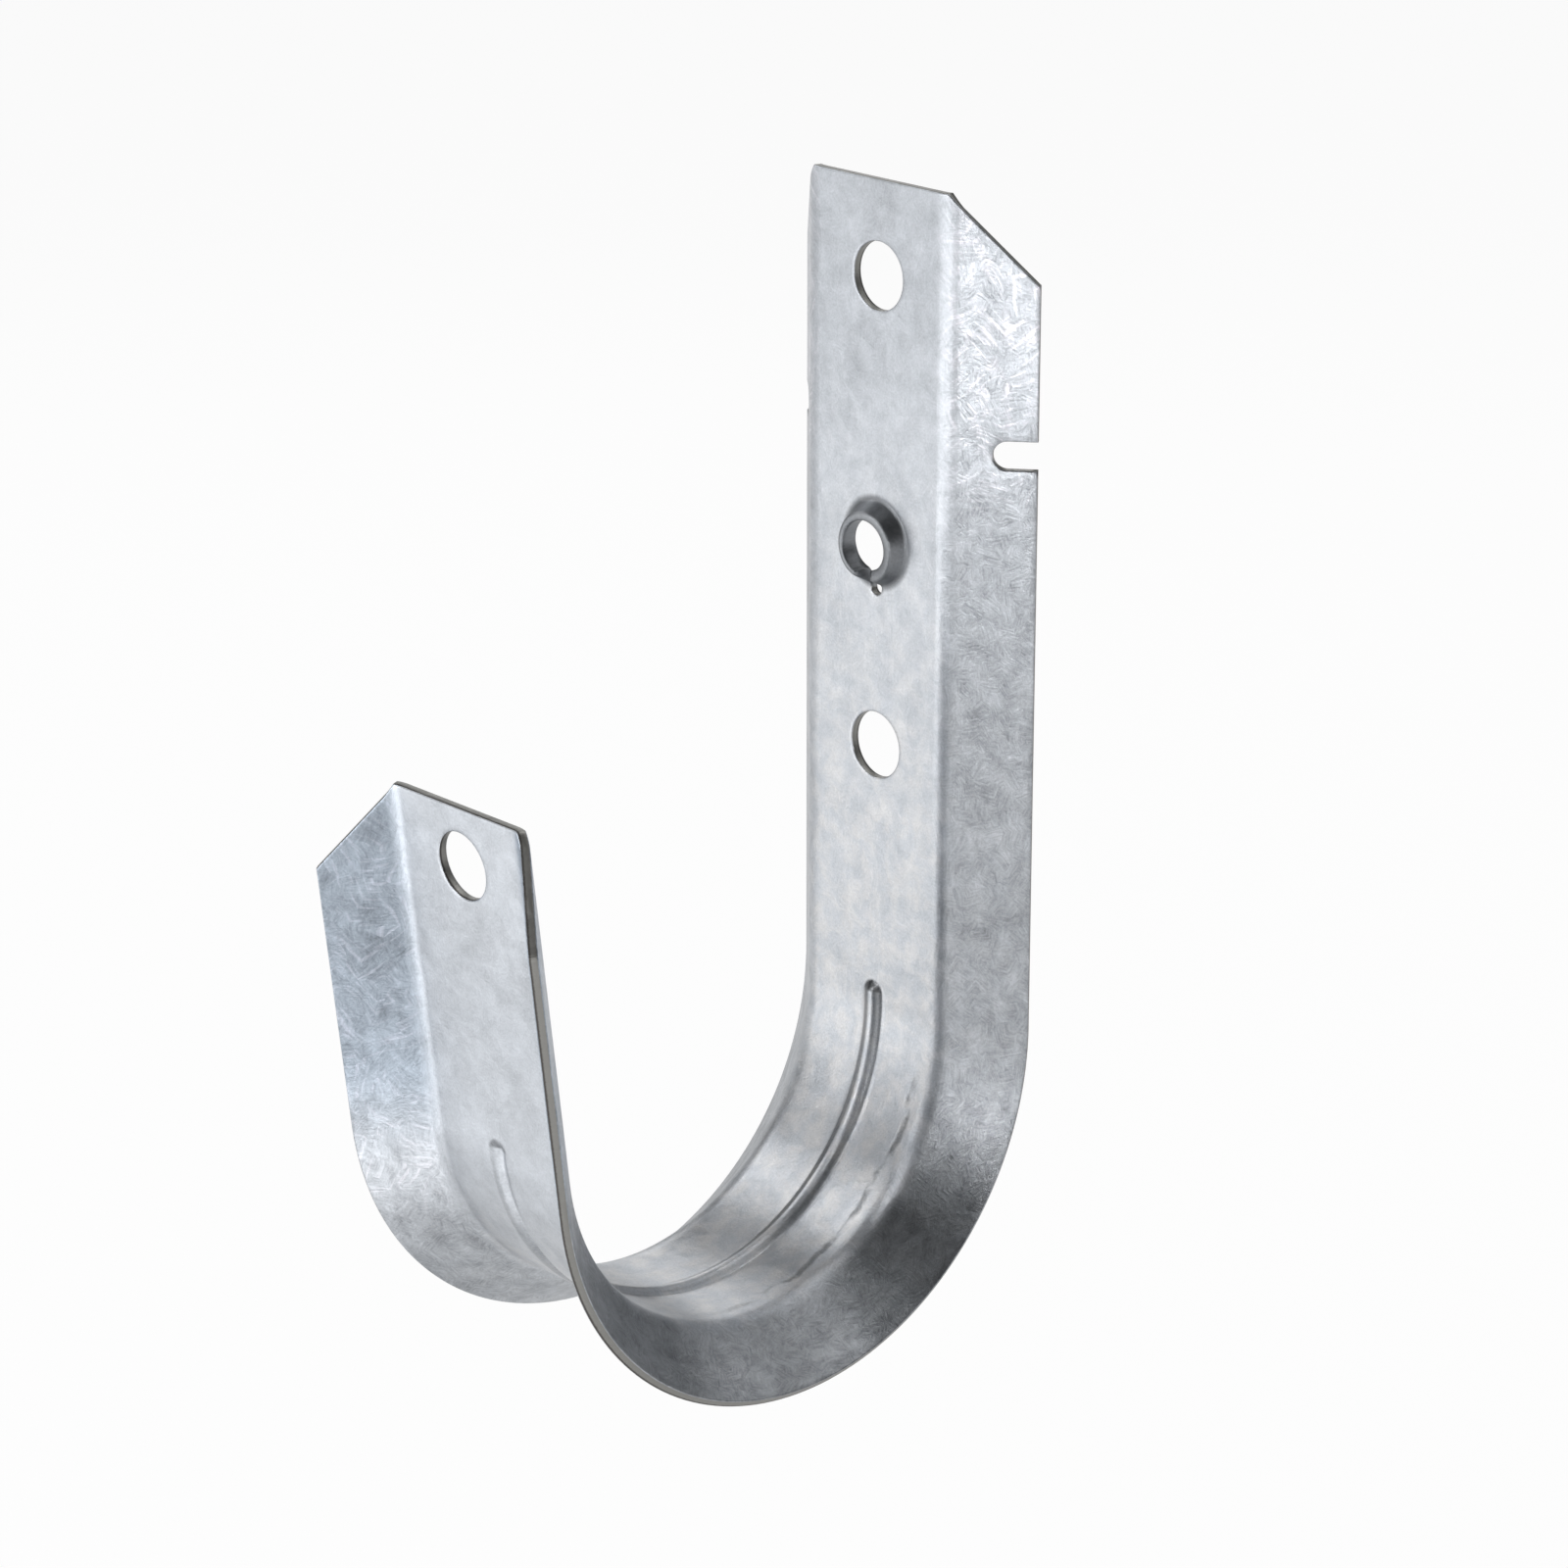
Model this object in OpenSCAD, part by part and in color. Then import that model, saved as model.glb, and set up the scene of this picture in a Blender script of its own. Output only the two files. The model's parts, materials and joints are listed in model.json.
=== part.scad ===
// J hook cable support, folded from one piece of galvanised sheet.
// Millimetres. X runs across the sheet, +Y points to the wall and +Z is up.
// The origin is the centre of the upper fixing hole, on the face that looks at the cables.

/* [Sheet] */
// Thickness of the sheet
sheet_t = 1.0; // [0.8:0.1:1.4]
// Flat width of the web, between its two folds
web_flat_w = 17.5; // [15:0.5:26]
// Flat width of each flange, from its fold to its free edge
flange_flat_w = 8.0; // [6.5:0.1:12]
// Angle that each flange is folded away from the cables
flange_angle = 40; // [25:1:55]
// Inside radius of the folds
fold_r = 3.0; // [1.5:0.1:4]
// Radius on the corners of each flange's free edge
edge_r = 0.25; // [0.1:0.05:0.35]

/* [Hook] */
// Diameter of the loop that holds the cables
loop_d = 50.8; // [40:0.1:110]
// Angle that the front leg leans out from the back leg
front_lean = 6.75; // [0:0.25:20]
// Length of the back leg above the centre of the loop
back_leg_h = 89; // [80:1:140]
// Length of the front leg beyond the loop
front_leg_h = 38; // [24:1:70]

/* [Fixing holes] */
// Diameter of the plain holes, which clear a 1/4 inch fastener
hole_d = 7.2; // [5:0.1:9]
// Distance of the upper fixing hole below the back leg's top edge
upper_hole_drop = 10; // [7:0.5:14]
// Distance of the lower fixing hole below the upper one
lower_hole_drop = 50.3; // [44:0.1:56]
// Distance of the front leg's hole below its top edge
front_hole_drop = 6.3; // [5.5:0.1:12]

/* [Threaded boss] */
// Distance of the boss below the upper fixing hole
boss_drop = 28.2; // [20:0.1:34]
// Diameter of the bore
bore_d = 5.4; // [4.6:0.1:6]
// Diameter of the boss at its rim
rim_d = 7.1; // [7:0.1:8.2]
// Diameter of the boss where it leaves the web
foot_d = 9.1; // [9:0.1:11]
// Diameter of the flared mouth on the wall side
mouth_d = 8.7; // [8:0.1:10]
// Radius that blends the boss's foot into the web, and its mouth into the wall side
blend_r = 0.5; // [0.3:0.1:0.7]
// Mean height of the rim above the web
rim_h = 2.0; // [1.6:0.1:2.6]
// Depth of the straight bore, measured from the rim
land_h = 0.9; // [0.6:0.1:1.2]
// Pitch of the thread, which the rim climbs in one turn
pitch = 1.27; // [0.8:0.01:1.4]
// Width of the slit that lets the rim climb
slit_w = 1.0; // [0.8:0.1:1.4]
// Diameter of the round relief at the end of the slit
relief_d = 1.6; // [1.5:0.1:2]
// Distance from the boss's axis to the centre of the relief
relief_reach = 4.9; // [4.7:0.1:6]

/* [Edge notches] */
// Width of the notch in each flange of the back leg
notch_w = 3.0; // [2:0.1:4.5]
// Depth of the notch from the flange's free edge
notch_depth = 4.6; // [3:0.1:6]
// Distance of the notches below the upper fixing hole
notch_drop = 16.7; // [13:0.1:24]

/* [Stiffening bead] */
// Depth that the bead is pressed, away from the cables
bead_depth = 1.0; // [0.7:0.1:1.4]
// Inside radius of the bead's own bends
bead_bend_r = 0.4; // [0.3:0.1:0.6]
// Slope of the bead's flanks
bead_slope = 50; // [45:1:60]
// Straight run of the bead up the back leg
back_bead_run = 0.8; // [0:0.1:12]
// Straight run of the bead up the front leg
front_bead_run = 0; // [0:0.1:12]

/* [Leg ends] */
// Width of the bevel across each flange's upper corner, along the sheet
bevel_w = 9.4; // [6:0.1:10]
// Height of that bevel
bevel_h = 9.1; // [6:0.1:12]

/* [Hidden] */
$fn = 96;
clear = 1;                  // how far a cutter stands out of the metal
cross = 0.001;              // arcs run this much wide, so that they cross a flat and don't graze it
$slim = 0;                  // how much less than the sheet's own thickness each face is drawn
skin_r = fold_r + sheet_t;  // fold radius on the face that looks at the cables
web_half = web_flat_w / 2;
loop_r = loop_d / 2;
arc_angle = 180 - front_lean;
upper_hole_h = back_leg_h - upper_hole_drop;
bead_r = bead_bend_r + sheet_t / 2;     // radius of the bead's bends, to the middle of the sheet
bead_flank_h = bead_depth - 2 * bead_r * (1 - cos(bead_slope));
bead_half_w = 2 * bead_r * sin(bead_slope) + bead_flank_h / tan(bead_slope);

// What lies outside an arc about the origin, between two directions
module outside_arc(r, from, to) {
    reach = 2 * r;
    middle = (from + to) / 2;
    difference() {
        polygon([[0, 0],
                 reach * [cos(from), sin(from)],
                 reach / cos(middle - from) * [cos(middle), sin(middle)],
                 reach * [cos(to), sin(to)]]);
        circle(r = r + cross);
    }
}

// Repeats a child on the other side of the hook's middle
module both_sides() {
    children();
    mirror([1, 0, 0]) children();
}

// Places a child in a flange's own frame: X along the sheet from its fold, Y to the wall
module on_flange() {
    translate([web_half, skin_r, 0])
        rotate(flange_angle)
            translate([0, -skin_r, 0]) children();
}

// All that lies on the wall side of a skin, which is set into the sheet by a depth
module behind_skin(depth, flange_w) {
    corner = [web_half + (skin_r - depth) * tan(flange_angle / 2), depth];
    along = (skin_r - depth) * tan(flange_angle / 2) + flange_w;
    end = corner + along * [cos(flange_angle), sin(flange_angle)];
    peak = end[1] + end[0] / tan(flange_angle);
    difference() {
        polygon([corner, end, [0, peak], [-end[0], end[1]], [-corner[0], corner[1]]]);
        both_sides()
            translate([web_half, skin_r]) outside_arc(skin_r - depth, -90, -90 + flange_angle);
    }
}

// The sheet's section: a web, two folds, and two flanges with softened edges
module plain_section() {
    difference() {
        behind_skin($slim, flange_flat_w - $slim);
        behind_skin(sheet_t - $slim, flange_flat_w + skin_r);
        both_sides() on_flange()
            translate([flange_flat_w - $slim - edge_r, 0]) {
                translate([0, $slim + edge_r]) outside_arc(edge_r, -90, 0);
                translate([0, sheet_t - $slim - edge_r]) outside_arc(edge_r, 0, 90);
            }
    }
}

// All that lies on the wall side of the bead's skin, across the width of the bead
module behind_bead(depth) {
    root_r = bead_r + sheet_t / 2 - depth;
    crown_r = bead_r - sheet_t / 2 + depth;
    root = [bead_half_w, bead_r + sheet_t / 2];
    crown = [0, bead_depth - bead_r + sheet_t / 2];
    foot = root[0] - root_r * tan(bead_slope / 2);
    top = bead_depth + 3 * sheet_t;
    intersection() {
        translate([-bead_half_w, 0]) square([2 * bead_half_w, top]);
        union() {
            difference() {
                polygon([[2 * bead_half_w, depth], [foot, depth],
                         [0, depth + foot * tan(bead_slope)],
                         [-foot, depth], [-2 * bead_half_w, depth],
                         [-2 * bead_half_w, 2 * top], [2 * bead_half_w, 2 * top]]);
                both_sides() translate(root) outside_arc(root_r, -90 - bead_slope, -90);
            }
            translate(crown) outside_arc(crown_r, 90 - bead_slope, 90 + bead_slope);
        }
    }
}

// The sheet's section across the bead alone
module bead_section() {
    difference() {
        behind_bead($slim);
        behind_bead(sheet_t - $slim);
    }
}

// The sheet's section through the loop, where the bead stiffens it
module beaded_section() {
    difference() {
        plain_section();
        translate([-bead_half_w, -clear]) square([2 * bead_half_w, sheet_t + 2 * clear]);
    }
    bead_section();
}

// One end of the bead, a half round that a straight run leads up to
module bead_end(run) {
    if (run > 0) linear_extrude(height = run) bead_section();
    translate([0, 0, run]) rotate([-90, 0, 0]) rotate([0, 0, 180])
        rotate_extrude(angle = 180) intersection() {
            bead_section();
            square([bead_half_w, bead_depth + 2 * sheet_t]);
        }
}

// The place in a flat web that the end of the bead fills
module bead_place(run) {
    translate([0, -clear, run]) rotate([-90, 0, 0])
        cylinder(r = bead_half_w, h = sheet_t + 2 * clear);
    translate([-bead_half_w, -clear, -clear])
        cube([2 * bead_half_w, sheet_t + 2 * clear, run + clear]);
}

// A round hole through the web, at a height on its leg
module web_hole(height, d) {
    translate([0, -clear, height]) rotate([-90, 0, 0]) cylinder(d = d, h = sheet_t + 2 * clear);
}

// The sloped cut across a flange's upper corner
module bevel(leg_h) {
    slope = bevel_h / bevel_w;
    start = flange_flat_w - bevel_w;
    far = flange_flat_w + clear;
    on_flange()
        translate([0, skin_r, 0]) rotate([90, 0, 0])
            linear_extrude(height = skin_r + clear)
                polygon([[start - clear, leg_h + clear * slope],
                         [far, leg_h - (far - start) * slope],
                         [far, leg_h + clear * slope]]);
}

// The notch in a flange's free edge, with a round inner end
module notch(height) {
    on_flange()
        translate([flange_flat_w - notch_depth + notch_w / 2, sheet_t + clear, height])
            rotate([90, 0, 0]) linear_extrude(height = sheet_t + 2 * clear) {
                circle(d = notch_w);
                translate([0, -notch_w / 2]) square([notch_depth + clear, notch_w]);
            }
}

// A leg stands on Z 0, with the face that looks at the cables at Y 0
module leg(leg_h, bead_run) {
    difference() {
        linear_extrude(height = leg_h) plain_section();
        both_sides() bevel(leg_h);
        bead_place(bead_run);
    }
    bead_end(bead_run);
}

// Places a child on the web, with Z out towards the cables
module on_web(height) {
    translate([0, 0, height]) rotate([90, 0, 0]) children();
}

// The cone that the boss is pressed up into, with a blend round its foot
module boss_cone() {
    tip_h = rim_h + pitch / 2;
    draft = (foot_d - rim_d) / 2 / rim_h;
    lean = atan(draft);
    blend = [foot_d / 2 + blend_r * tan(45 - lean / 2), blend_r];
    rotate_extrude() {
        polygon([[0, -sheet_t / 2], [foot_d / 2, -sheet_t / 2],
                 [foot_d / 2, 0], [foot_d / 2 - draft * tip_h, tip_h], [0, tip_h]]);
        difference() {
            polygon([[foot_d / 2 - draft * blend_r, -sheet_t / 2], [blend[0], -sheet_t / 2], [blend[0], 0],
                     [foot_d / 2 - draft * blend_r, blend_r]]);
            translate(blend) circle(r = blend_r + cross);
        }
    }
}

// The bore, and the flare that the punch leaves behind it
module boss_bore() {
    land_foot = rim_h - pitch / 2 - land_h;
    flare = atan((mouth_d - bore_d) / 2 / (land_foot + sheet_t));
    edge = [mouth_d / 2 + blend_r * tan(45 - flare / 2), blend_r - sheet_t];
    rotate_extrude() {
        square([bore_d / 2, rim_h + pitch]);
        polygon([[0, land_foot], [bore_d / 2, land_foot], [mouth_d / 2, -sheet_t],
                 [mouth_d / 2, -2 * sheet_t], [0, -2 * sheet_t]]);
        translate(edge) outside_arc(blend_r, 180 + flare, 270);
    }
}

// The ramp that trims the rim to one turn of a right hand thread, with its step in the slit
module rim_ramp() {
    steps = 60;
    near = bore_d / 4;
    far = foot_d;
    top = rim_h + 2 * pitch;
    spins = [for (i = [0 : steps]) -90 + 360 * i / steps];
    rises = [for (i = [0 : steps]) rim_h - pitch / 2 + pitch * i / steps];
    points = [for (i = [0 : steps])
              each [[near * cos(spins[i]), near * sin(spins[i]), rises[i]],
                    [far * cos(spins[i]), far * sin(spins[i]), rises[i]],
                    [far * cos(spins[i]), far * sin(spins[i]), top],
                    [near * cos(spins[i]), near * sin(spins[i]), top]]];
    walls = [for (i = [0 : steps - 1]) for (j = [0 : 3])
             each [[4 * i + j, 4 * i + (j + 1) % 4, 4 * i + 4 + j],
                   [4 * i + 4 + j, 4 * i + (j + 1) % 4, 4 * i + 4 + (j + 1) % 4]]];
    last = 4 * steps;
    polyhedron(points, concat([[0, 2, 1], [0, 3, 2]], walls,
                              [[last, last + 1, last + 2], [last, last + 2, last + 3]]));
}

// The slit below the boss, which ends in a round relief
module slit() {
    translate([-slit_w / 2, -relief_reach, -2 * sheet_t])
        cube([slit_w, relief_reach, rim_h + 2 * pitch + 2 * sheet_t]);
    translate([0, -relief_reach, -2 * sheet_t])
        cylinder(d = relief_d, h = rim_h + 2 * pitch + 2 * sheet_t);
}

// The back leg, with its boss, fixing holes and notches
module back_leg() {
    boss_height = upper_hole_h - boss_drop;
    difference() {
        union() {
            leg(back_leg_h, back_bead_run);
            on_web(boss_height) boss_cone();
        }
        on_web(boss_height) {
            boss_bore();
            rim_ramp();
            slit();
        }
        web_hole(upper_hole_h, hole_d);
        web_hole(upper_hole_h - lower_hole_drop, hole_d);
        both_sides() notch(upper_hole_h - notch_drop);
    }
}

// The front leg, with its one hole
module front_leg() {
    difference() {
        leg(front_leg_h, front_bead_run);
        web_hole(front_leg_h - front_hole_drop, hole_d);
    }
}

// The loop hangs below Z 0, on the same centre as the legs' lean
module loop(angle) {
    translate([0, -loop_r, 0]) rotate([-90, 0, 90])
        rotate_extrude(angle = angle) translate([loop_r, 0]) rotate(-90) beaded_section();
}

// Turns a child about the centre of the loop, from the back leg round to the front one
module at_front() {
    translate([0, -loop_r, 0]) rotate([-arc_angle, 0, 0]) translate([0, loop_r, 0])
        mirror([0, 0, 1]) children();
}

// The front leg and the loop are drawn as one, with the loop a little too long. The back leg's
// foot trims it, and is drawn a hair fuller, so that no two skins there nearly coincide.
module hook() {
    over = 3;       // degrees that the loop runs on into the back leg before it is trimmed
    hair = 0.001;
    far = loop_d + web_flat_w + flange_flat_w;
    color("silver") translate([0, 0, -upper_hole_h]) {
        back_leg();
        difference() {
            at_front($slim = hair) {
                front_leg();
                loop(arc_angle + over);
            }
            translate([-far, -loop_r / 2, 0]) cube([2 * far, far, far]);
        }
    }
}

hook();
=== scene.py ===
# %% [markdown]
# # A folded steel cable hook
# This lesson models a J hook that carries data cables along a wall. The real one starts as a flat
# strip of galvanised steel. A press pierces its holes, draws up a small threaded boss, folds the
# two long edges back and rolls the strip round into a J. The script does the same things in the
# same order: it draws the flat strip, opens its holes, gives it thickness, and bends it at the
# end. Everything that is hard to cut on a bent surface is easy on a flat one.

# %% [markdown]
# ## The frame
# The plain model of this hook comes in a frame: its box, and the place and size of each hole. The
# script reads it first, so that the lesson's hook fits the plain one. All lengths are in metres, and
# `MM` lets them be written in millimetres.

# %% The frame
import json
import math

import bmesh
import bpy
from mathutils import Matrix, Vector


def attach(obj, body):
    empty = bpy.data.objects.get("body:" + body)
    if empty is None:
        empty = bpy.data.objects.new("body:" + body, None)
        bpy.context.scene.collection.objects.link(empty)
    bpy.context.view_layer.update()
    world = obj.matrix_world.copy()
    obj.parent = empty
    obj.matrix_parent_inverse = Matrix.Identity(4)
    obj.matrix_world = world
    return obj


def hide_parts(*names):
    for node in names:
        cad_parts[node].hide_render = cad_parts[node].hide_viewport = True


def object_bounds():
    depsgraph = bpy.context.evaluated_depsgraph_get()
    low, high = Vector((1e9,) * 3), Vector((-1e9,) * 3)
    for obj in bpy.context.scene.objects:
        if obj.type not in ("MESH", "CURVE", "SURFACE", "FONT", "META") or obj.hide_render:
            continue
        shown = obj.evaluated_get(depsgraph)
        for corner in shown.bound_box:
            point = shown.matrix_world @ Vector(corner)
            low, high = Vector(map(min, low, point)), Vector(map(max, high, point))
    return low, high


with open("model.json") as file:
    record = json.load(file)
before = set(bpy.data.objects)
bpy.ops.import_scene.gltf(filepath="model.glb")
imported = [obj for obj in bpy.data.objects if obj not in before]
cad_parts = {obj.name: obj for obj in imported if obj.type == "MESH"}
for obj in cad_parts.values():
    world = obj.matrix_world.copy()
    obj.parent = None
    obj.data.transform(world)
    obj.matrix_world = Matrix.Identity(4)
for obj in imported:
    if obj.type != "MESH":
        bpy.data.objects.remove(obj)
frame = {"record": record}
cad_low, cad_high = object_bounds()
mounts = {mount["name"]: mount for mount in frame["record"]["mounts"]}
MM = 0.001
print("the hook is", [round(side / MM, 1) for side in cad_high - cad_low], "mm")

# %% [markdown]
# ## Sizes
# The strip lies flat in X and Z while it is worked. X runs across it, Z runs along it, and its
# thickness is in Y, with the face that looks at the cables at Y 0. Z is 0 where the back leg runs
# into the loop, so the back leg is above 0 and the loop and the front leg are below. A bend is as
# long on the strip as its arc is on that face, so the fold and the loop each take their radius times
# their angle. A lesson in sheet metal would call the result the flat blank.

# %% Sizes of the strip
SHEET = 1.0 * MM
WEB_HALF = 8.75 * MM
FLANGE = 7.94 * MM
FOLD_ANGLE = math.radians(40)
FOLD_R = 4.0 * MM
LOOP_R = 25.4 * MM
LOOP_ANGLE = math.radians(173.25)
BACK_LEG = 89.0 * MM
FRONT_LEG = 38.0 * MM

FOLD = FOLD_R * FOLD_ANGLE
HALF = WEB_HALF + FOLD + FLANGE
LOOP = LOOP_R * LOOP_ANGLE
TIP = -LOOP - FRONT_LEG
print(f"the flat strip is {2 * HALF / MM:.1f} by {(BACK_LEG - TIP) / MM:.1f} mm")

# %% [markdown]
# The holes come from the frame, which knows where each one is and how wide. A height on the back
# leg is the same on the strip, once the distance from the upper hole to the loop is added. The
# front leg's hole is measured from the loop's end instead, along the leg's own lean. The notches
# and the cut corners aren't holes, so their sizes are written here.

# %% Places along the strip
UPPER = BACK_LEG - cad_high.z


def place_of(name):
    """A mount's place along the flat strip."""
    place = Vector(mounts[name]["pos_m"])
    if name != "front_leg_hole":
        return UPPER + place.z
    foot = Vector((0, LOOP_R * (math.cos(LOOP_ANGLE) - 1), -LOOP_R * math.sin(LOOP_ANGLE) - UPPER))
    return -LOOP - (place - foot).length


def radius_of(name):
    return mounts[name]["dims"]["r_mm"] * MM


PLAIN_HOLES = ["upper_fixing_hole", "lower_fixing_hole", "front_leg_hole"]
BOSS = place_of("threaded_boss")
NOTCH = UPPER - 16.7 * MM
NOTCH_W = 3.0 * MM
NOTCH_DEPTH = 4.6 * MM
BEVEL_W = 9.4 * MM
BEVEL_H = 9.1 * MM
for hole in PLAIN_HOLES + ["threaded_boss"]:
    print(f"{hole}: {place_of(hole) / MM:.2f} mm along, radius {radius_of(hole) / MM:.2f} mm")

# %% [markdown]
# ## The rib's section
# A rib stiffens the loop. Its section is two bends and a straight side on each half: the root
# bends up from the sheet, the side climbs at a steady slope, and the crown bends over. Bend radius
# and slope are chosen, and the side is as long as it takes to reach the height. Its width is
# needed early, because the strip's grid has to be fine where the rib will be.

# %% Size of the rib
RIB_HEIGHT = 0.62 * MM
RIB_R = 0.9 * MM
RIB_SLOPE = math.radians(37)
RIB_SIDE = (RIB_HEIGHT - 2 * RIB_R * (1 - math.cos(RIB_SLOPE))) / math.tan(RIB_SLOPE)
RIB_HALF = 2 * RIB_R * math.sin(RIB_SLOPE) + RIB_SIDE
RIB_START = 0.8 * MM
print(f"the rib is {2 * RIB_HALF / MM:.2f} mm wide and starts {RIB_START / MM} mm above the loop")

# %% [markdown]
# ## The flat strip
# One grid covers the strip. Its lines don't have to be evenly spaced: they are close together
# where something small will be formed, such as the folds and the rib, and far apart on plain
# metal. A list of stops, with a spacing between each two, gives all the places of the lines. The
# lines near a cut corner lie where the cut's own slope crosses them, so it runs from grid point to
# grid point.

# %% Lines of the grid
HOLE_BLOCK = 4.5 * MM
BOSS_BLOCK = 6.5 * MM
RIB_MARGIN = 0.2 * MM
HAIR = 0.01 * MM


def lines(*stretches):
    """Places from one stop to the next, each stretch with its own spacing in millimetres."""
    places = [stretches[0]]
    for stop, spacing in zip(stretches[2::2], stretches[1::2]):
        start = places[-1]
        count = max(1, round(abs(stop - start) / (spacing * MM)))
        places += [start + (stop - start) * i / count for i in range(1, count + 1)]
    return places


CORNER = HALF - BEVEL_W
NOTCH_END = HALF - NOTCH_DEPTH
half_lines = lines(0, 0.24, RIB_HALF, 0.55, HOLE_BLOCK, 0.6, BOSS_BLOCK, 0.6, WEB_HALF,
                   0.3, CORNER, 0.3, WEB_HALF + FOLD, 0.7, NOTCH_END, 0.38, NOTCH_END + NOTCH_W / 2,
                   0.6, HALF)
across = [-x for x in reversed(half_lines[1:])] + half_lines
corner_lines = [(x - CORNER) * BEVEL_H / BEVEL_W for x in half_lines if x > CORNER - HAIR]
stops = [BACK_LEG - BEVEL_H, 0.5, UPPER - HOLE_BLOCK]
for detail, reach, fine in [(NOTCH, NOTCH_W / 2, 0.38), (BOSS, BOSS_BLOCK, 0.6),
                            (place_of("lower_fixing_hole"), HOLE_BLOCK, 0.5),
                            (RIB_START, RIB_HALF + RIB_MARGIN, 0.2)]:
    stops += [1.0, detail + reach, fine, detail - reach]
stops += [0.9, -LOOP + RIB_MARGIN, 0.2, -LOOP - RIB_HALF - RIB_MARGIN, 1.0,
          place_of("front_leg_hole") + HOLE_BLOCK, 0.5, TIP + BEVEL_H]
along = [BACK_LEG - drop for drop in corner_lines[:-1]] + lines(*stops)
along += [TIP + drop for drop in reversed(corner_lines[:-1])]
print(len(across), "lines across and", len(along), "along")

# %% [markdown]
# The grid operator makes an even square from -1 to 1 in X and Y. From a vertex's place in that
# square comes its column and row, and from those the line that it belongs to. The strip stands in
# X and Z, so the row becomes Z.

# %% The grid
strip = bmesh.new()
bmesh.ops.create_grid(strip, x_segments=len(across) - 1, y_segments=len(along) - 1, size=1.0)
for vert in strip.verts:
    column = round((vert.co.x + 1) / 2 * (len(across) - 1))
    row = round((vert.co.y + 1) / 2 * (len(along) - 1))
    vert.co = (across[column], 0, along[row])
print(len(strip.faces), "faces")

# %% [markdown]
# ## Round holes
# A hole starts as a square block of faces that is taken out. The square edge that is left is
# extruded inwards, and the new vertices go to a circle at equal steps. Two such rings give the
# hole a neat collar of faces, which the rounding of its edge needs later.

# %% Rings around a centre
TURN = 2 * math.pi
TINY_TURN = 1e-4
COLLAR_W = 0.5 * MM


def turn_of(point, height):
    """How far round a centre a vertex lies, from straight below, right hand side first."""
    angle = math.atan2(point.co.x, height - point.co.z)
    return (angle + TINY_TURN) % TURN


def open_block(height, block):
    """Takes a square block of faces out and gives its edge, as vertices in order."""
    taken = []
    for face in strip.faces:
        middle = face.calc_center_median()
        if max(abs(middle.x), abs(middle.z - height)) < block:
            taken.append(face)
    near = {vert for face in taken for vert in face.verts}
    bmesh.ops.delete(strip, geom=taken, context="FACES")
    return sorted((vert for vert in near if vert.is_valid), key=lambda vert: turn_of(vert, height))


def next_ring(ring, height, places):
    """Extrudes a closed ring and puts the new vertices in their places."""
    edges = [strip.edges.get((ring[i - 1], ring[i])) for i in range(len(ring))]
    made = bmesh.ops.extrude_edge_only(strip, edges=edges)["geom"]
    fresh = sorted((item for item in made if isinstance(item, bmesh.types.BMVert)),
                   key=lambda vert: turn_of(vert, height))
    for vert, (x, z) in zip(fresh, places):
        vert.co = (x, 0, height + z)
    return fresh


def circle(radius, count):
    """Places at equal steps round a circle, from straight below."""
    turns = [TURN * i / count for i in range(count)]
    return [(radius * math.sin(turn), -radius * math.cos(turn)) for turn in turns]


for hole in PLAIN_HOLES:
    hole_ring = open_block(place_of(hole), HOLE_BLOCK)
    for ring_r in (radius_of(hole) + COLLAR_W, radius_of(hole)):
        hole_ring = next_ring(hole_ring, place_of(hole), circle(ring_r, len(hole_ring)))
    print(f"{hole} has {len(hole_ring)} sides")

# %% [markdown]
# ## The pierced boss
# The boss is drawn up from the flat sheet, so it starts as a small round hole with a slit below
# it that ends in a round relief. The rings here are closely spaced, because each will be one step
# of the boss's side. Below the centre two columns of faces are left out of the inner rings: that
# is the slit. A ring's ends then go to the slit's edge, or to the relief where the ring meets it.

# %% Slit and relief
SLIT_HALF = 0.5 * MM
RELIEF_R = 0.8 * MM
RELIEF = 4.9 * MM
FOOT_R = 4.55 * MM
FOOT_OUT = 5.3 * MM
PILOT = 2.5 * MM
EDGE_COLUMN = math.radians(6)
STEPS = 11


def slit_turn(radius):
    """How far round from straight below the opening reaches, on a circle of some radius."""
    half = math.asin(SLIT_HALF / radius) if radius < RELIEF else 0.0
    chord = (radius ** 2 + RELIEF ** 2 - RELIEF_R ** 2) / (2 * radius * RELIEF)
    return max(half, math.acos(chord) if chord < 1 else 0.0)


def slit_ring(radius, count):
    """Places on a circle that is open at the slit, with the middle one kept at the bottom."""
    edge = slit_turn(radius)
    first = edge + EDGE_COLUMN
    turns = [first + (TURN - 2 * first) * i / (count - 4) for i in range(count - 3)]
    turns = [edge] + turns + [TURN - edge]
    return [(0, -radius)] + [(radius * math.sin(turn), -radius * math.cos(turn)) for turn in turns]


print("the slit opens", round(math.degrees(2 * slit_turn(FOOT_R)), 1), "degrees at the boss's foot")

# %% [markdown]
# Two wider rings lead from the square block to the first ring of the boss, and the second of them
# touches the relief's lowest point. Then the steps follow. The faces on both sides of the middle
# vertex, straight below the centre, are the slit's, and they are deleted at the end, when every
# ring has been extruded.

# %% Rings of the boss
BLOCK_RING = 6.2 * MM
RELIEF_RING = 5.55 * MM

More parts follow.
